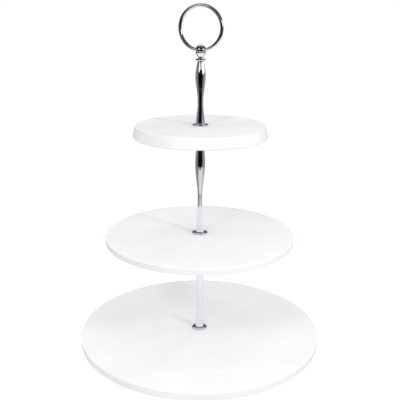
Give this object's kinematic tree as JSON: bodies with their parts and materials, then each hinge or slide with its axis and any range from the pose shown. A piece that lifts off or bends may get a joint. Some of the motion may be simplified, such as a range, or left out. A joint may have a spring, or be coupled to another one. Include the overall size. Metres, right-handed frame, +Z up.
{
  "type": "tiered cake stand",
  "caption": "Tiered cake stand: round white boards that step down in size up a turned chrome column, with a ring handle on top.",
  "frame": {"origin": "centre of the stand's base, on the column's axis, at the floor under the feet", "axes": "+Z up along the column; the ring handle stands in the XZ plane, and +X is its hinge line through the ball"},
  "size_m": [0.3, 0.3, 0.4119],
  "materials": {
    "white_lacquer": "white satin lacquer over fibreboard, slightly eased edges",
    "chrome": "polished chrome plate",
    "zinc_steel": "bright zinc plate, turned",
    "grey_rubber": "soft moulded rubber"
  },
  "bodies": {
    "base": {"bottom_board": "white_lacquer", "foot_1": "grey_rubber", "foot_2": "grey_rubber", "foot_3": "grey_rubber", "foot_4": "grey_rubber", "base_screw": "zinc_steel", "base_washer": "zinc_steel", "bottom_board_lower_gasket": "grey_rubber", "bottom_board_upper_gasket": "grey_rubber"},
    "lower_flange": {"lower_flange": "chrome"},
    "lower_rod": {"lower_rod": "chrome", "lower_stud": "zinc_steel", "middle_support_washer": "zinc_steel", "middle_board_lower_gasket": "grey_rubber"},
    "middle_board": {"middle_board": "white_lacquer", "middle_board_upper_gasket": "grey_rubber"},
    "middle_flange": {"middle_flange": "chrome"},
    "middle_rod": {"middle_rod": "chrome", "upper_stud": "zinc_steel", "top_support_washer": "zinc_steel", "top_board_lower_gasket": "grey_rubber"},
    "top_board": {"top_board": "white_lacquer", "top_board_upper_gasket": "grey_rubber"},
    "top_flange": {"top_flange": "chrome"},
    "handle": {"handle_rod": "chrome", "finial_cup": "chrome", "finial_ball": "chrome"},
    "ring": {"ring_handle": "chrome"}
  },
  "joints": [
    {"name": "lower_rod_turn", "type": "hinge", "parent": "base", "child": "lower_flange", "pos_m": [0, 0, 0.0125], "axis": [0, 0, 1], "range_deg": [0, 3960]},
    {"name": "lower_rod_lift", "type": "slide", "parent": "lower_flange", "child": "lower_rod", "axis": [0, 0, 1], "range_m": [0, 0.0088]},
    {"name": "middle_board_spin", "type": "hinge", "parent": "lower_rod", "child": "middle_board", "pos_m": [0, 0, 0.1413], "axis": [0, 0, 1], "continuous": true},
    {"name": "middle_rod_turn", "type": "hinge", "parent": "lower_rod", "child": "middle_flange", "pos_m": [0, 0, 0.1413], "axis": [0, 0, 1], "range_deg": [0, 3960]},
    {"name": "middle_rod_lift", "type": "slide", "parent": "middle_flange", "child": "middle_rod", "axis": [0, 0, 1], "range_m": [0, 0.0088]},
    {"name": "top_board_spin", "type": "hinge", "parent": "middle_rod", "child": "top_board", "pos_m": [0, 0, 0.2748], "axis": [0, 0, 1], "continuous": true},
    {"name": "handle_turn", "type": "hinge", "parent": "middle_rod", "child": "top_flange", "pos_m": [0, 0, 0.2748], "axis": [0, 0, 1], "range_deg": [0, 3960]},
    {"name": "handle_lift", "type": "slide", "parent": "top_flange", "child": "handle", "axis": [0, 0, 1], "range_m": [0, 0.0088]},
    {"name": "ring_swing", "type": "hinge", "parent": "handle", "child": "ring", "pos_m": [0, 0, 0.3611], "axis": [1, 0, 0], "range_deg": [-172, 172]}
  ],
  "couplings": [
    {"joint": "lower_rod_turn", "follows": "lower_rod_lift", "rad_per_m": 7854},
    {"joint": "middle_rod_turn", "follows": "middle_rod_lift", "rad_per_m": 7854},
    {"joint": "handle_turn", "follows": "handle_lift", "rad_per_m": 7854}
  ]
}
